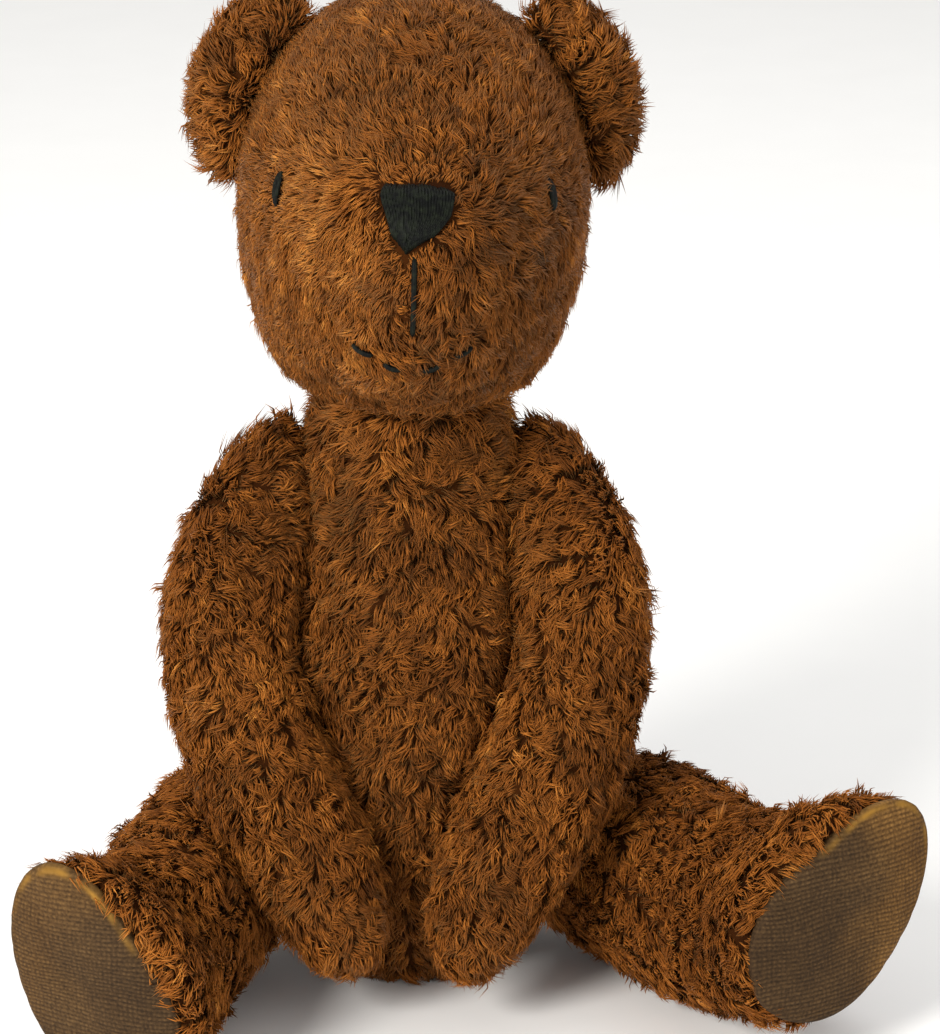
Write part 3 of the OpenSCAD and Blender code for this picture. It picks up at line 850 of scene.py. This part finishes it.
def tube(points, radius, sides=7):
    """Verts and faces of a closed round thread along points, a little thinner at both ends."""
    p = np.array(points)
    d = unit(np.gradient(p, axis=0))
    ref = np.array([0.31, 0.17, 0.93])
    e = unit(np.cross(d, ref))
    f = np.cross(d, e)
    k = len(p)
    swell = np.ones(k)
    swell[[0, -1]] = 0.55
    a = np.linspace(0, 2 * math.pi, sides, endpoint=False)
    ring = e[:, None] * np.cos(a)[None, :, None] + f[:, None] * np.sin(a)[None, :, None]
    v = (p[:, None] + radius * swell[:, None, None] * ring).reshape(-1, 3)
    faces = []
    for i in range(0, (k - 1) * sides, sides):
        for j in range(sides):
            after = (j + 1) % sides
            faces.append((i + j, i + after, i + sides + after, i + sides + j))
    faces += [tuple(range(sides))[::-1], tuple((k - 1) * sides + j for j in range(sides))]
    return v, faces


def joined_tubes(name, tubes, material, body, nodes):
    """One piece of several threads, in the place of CAD nodes."""
    V, F, at = [], [], 0
    for v, f in tubes:
        V.append(v)
        F += [tuple(at + i for i in x) for x in f]
        at += len(v)
    o = new_object(name, np.concatenate(V), F, material)
    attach(o, body)
    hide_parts(*nodes)
    return o


def on_face(x, z, lift):
    """The point of the head behind (x, z) as seen from the front, lifted off its surface."""
    hit = OWN["head"].ray_cast(Vector((x, -0.2, z)), Vector((0, 1, 0)), 0.4)
    return np.array(hit[0]) + np.array(hit[1]) * lift


# Nose: upright stitches in two layers, the upper one finer
rng = np.random.default_rng(71)
low, high = (np.array(x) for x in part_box("nose"))
tubes = []
for count, lift, radius in ((15, 1.0 * MM, 0.75 * MM), (25, 1.9 * MM, 0.45 * MM)):
    for i in range(count):
        a = (i + 0.5) / count * 2 - 1
        start = 0.02 + 0.10 * max(a, 0) ** 2 + rng.uniform(0, 0.03)
        stop = 1.0 - 0.22 * abs(a) ** 1.4 - rng.uniform(0, 0.04)
        line = []
        for u in np.linspace(start, stop, 11):
            left, right = nose_reach(u)
            across = -left + (left + right) * (a + 1) / 2
            arch = max(4 * (u - start) * (stop - u) / (stop - start) ** 2, 0) ** 0.4
            line.append(on_face(NOSE[0] + across * 0.95, high[2] - (high[2] - low[2]) * u,
                                lift * (0.3 + 0.7 * arch) * (1 - 0.35 * a * a)))
        tubes.append(tube(line, radius))
joined_tubes("nose_stitches", tubes, BLACK, "head", ["nose"])

# Eyes: five upright stitches each
for side in ("left", "right"):
    low, high = (np.array(x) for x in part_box("eye_" + side))
    c = (low + high) / 2
    tubes = []
    for i in range(5):
        a = (i - 2) / 2
        line = []
        for u in np.linspace(-1, 1, 11):
            z = c[2] + u * (high[2] - low[2]) * (0.52 - 0.10 * abs(a)) + 0.3 * MM * a
            hit = OWN["head"].find_nearest(Vector((c[0], c[1], z)))
            normal = np.array(hit[1])
            sidewise = unit(np.cross(normal, UP))
            line.append(np.array(hit[0]) + normal * (0.7 + 0.6 * max(1 - u * u, 0) ** 0.5) * MM
                        + sidewise * (a * (0.95 - 0.35 * u * u)) * MM)
        tubes.append(tube(line, 0.45 * MM))
    joined_tubes("eye_stitches_" + side, tubes, BLACK, "head", ["eye_" + side])


def stitch_lines(node, lift, tree_key, radius, steps=7):
    """One thread for each separate stitch of a CAD node, lifted off the surface under it."""
    bm, parts = islands(NODES[node].data)
    found = []
    for part in parts:
        q = np.array([v.co for v in part])
        c = q.mean(0)
        hit = OWN[tree_key].find_nearest(Vector(c))
        normal = np.array(hit[1])
        flat = q - c - np.outer((q - c) @ normal, normal)
        _, axes = np.linalg.eigh(np.cov(flat.T))
        d = axes[:, 2]
        s = (q - c) @ d
        line = []
        for u in np.linspace(s.min(), s.max(), steps):
            h = OWN[tree_key].find_nearest(Vector(c + d * u))
            arch = 1 - (2 * (u - s.min()) / (s.max() - s.min()) - 1) ** 2
            line.append(np.array(h[0]) + np.array(h[1]) * (lift * (0.45 + 0.55 * max(arch, 0) ** 0.5)))
        found.append(tube(line, radius))
    bm.free()
    return found


joined_tubes("mouth_thread", stitch_lines("mouth_stitches", 1.8 * MM, "head", 0.65 * MM, 15), BLACK, "head",
             ["mouth_stitches"])
joined_tubes("back_thread", stitch_lines("back_closing_stitches", 1.8 * MM, "torso", 0.45 * MM), BROWN,
             "torso", ["back_closing_stitches"])


# ---------------------------------------------------------------- carried-over pieces inside

for name, o in NODES.items():
    if o.hide_render:
        continue
    material = BOARD if "board" in name else LINEN if "thread" in name else STEEL
    o.data.materials.clear()
    o.data.materials.append(material)


# ---------------------------------------------------------------- floor, light, camera

floor = new_object("floor", [(-4, -3, 0), (4, -3, 0), (4, 5, 0), (-4, 5, 0)], [(0, 1, 2, 3)], smooth=False)
m, t, s = node_tree("paper_floor")
grain = texture(t, "ShaderNodeTexNoise", 30, 2)
link(t, ramp(t, grain.outputs[0], [(0.0, (0.93, 0.93, 0.925)), (1.0, (0.96, 0.96, 0.955))]),
     s.inputs["Base Color"])
s.inputs["Roughness"].default_value = 0.9
floor.data.materials.append(m)

world = bpy.data.worlds.new("studio")
world.use_nodes = True
world.node_tree.nodes["Background"].inputs[0].default_value = (1.0, 0.99, 0.97, 1)
world.node_tree.nodes["Background"].inputs[1].default_value = 0.62
bpy.context.scene.world = world
bpy.context.scene.view_settings.view_transform = "Standard"


def area_light(name, at, target, size, power, colour=(1, 1, 1)):
    data = bpy.data.lights.new(name, "AREA")
    data.shape = "DISK"
    data.size = size
    data.energy = power
    data.color = colour
    o = bpy.data.objects.new(name, data)
    o.location = at
    o.rotation_euler = (Vector(target) - Vector(at)).to_track_quat("-Z", "Y").to_euler()
    bpy.context.scene.collection.objects.link(o)


area_light("key", (-0.75, -1.05, 0.75), (0, 0, 0.1), 0.5, 22, (1.0, 0.97, 0.92))
area_light("fill", (1.0, -0.9, 0.5), (0, 0, 0.1), 0.9, 3)
area_light("top", (0.1, 0.45, 1.2), (0, 0, 0.1), 0.8, 5)

ELEVATION = math.radians(20)
LENS = 159.7                     # in millimetres on a sensor 36 mm wide, from 1 m away
AIM_RIGHT, AIM_UP = 14.4, 10.0   # how far the camera aims beside and above the bear's middle, in mm
forward = np.array([0, math.cos(ELEVATION), -math.sin(ELEVATION)])
up = np.array([0, math.sin(ELEVATION), math.cos(ELEVATION)])
aim = np.array([0, 0, 0.1]) + np.array([1, 0, 0]) * AIM_RIGHT * MM + up * AIM_UP * MM
data = bpy.data.cameras.new("camera")
data.sensor_width = 36
data.sensor_fit = "HORIZONTAL"
data.lens = LENS
data.clip_start = 0.05
camera = bpy.data.objects.new("camera", data)
camera.location = aim - forward
camera.rotation_euler = (math.pi / 2 - ELEVATION, 0, 0)
bpy.context.scene.collection.objects.link(camera)
bpy.context.scene.camera = camera
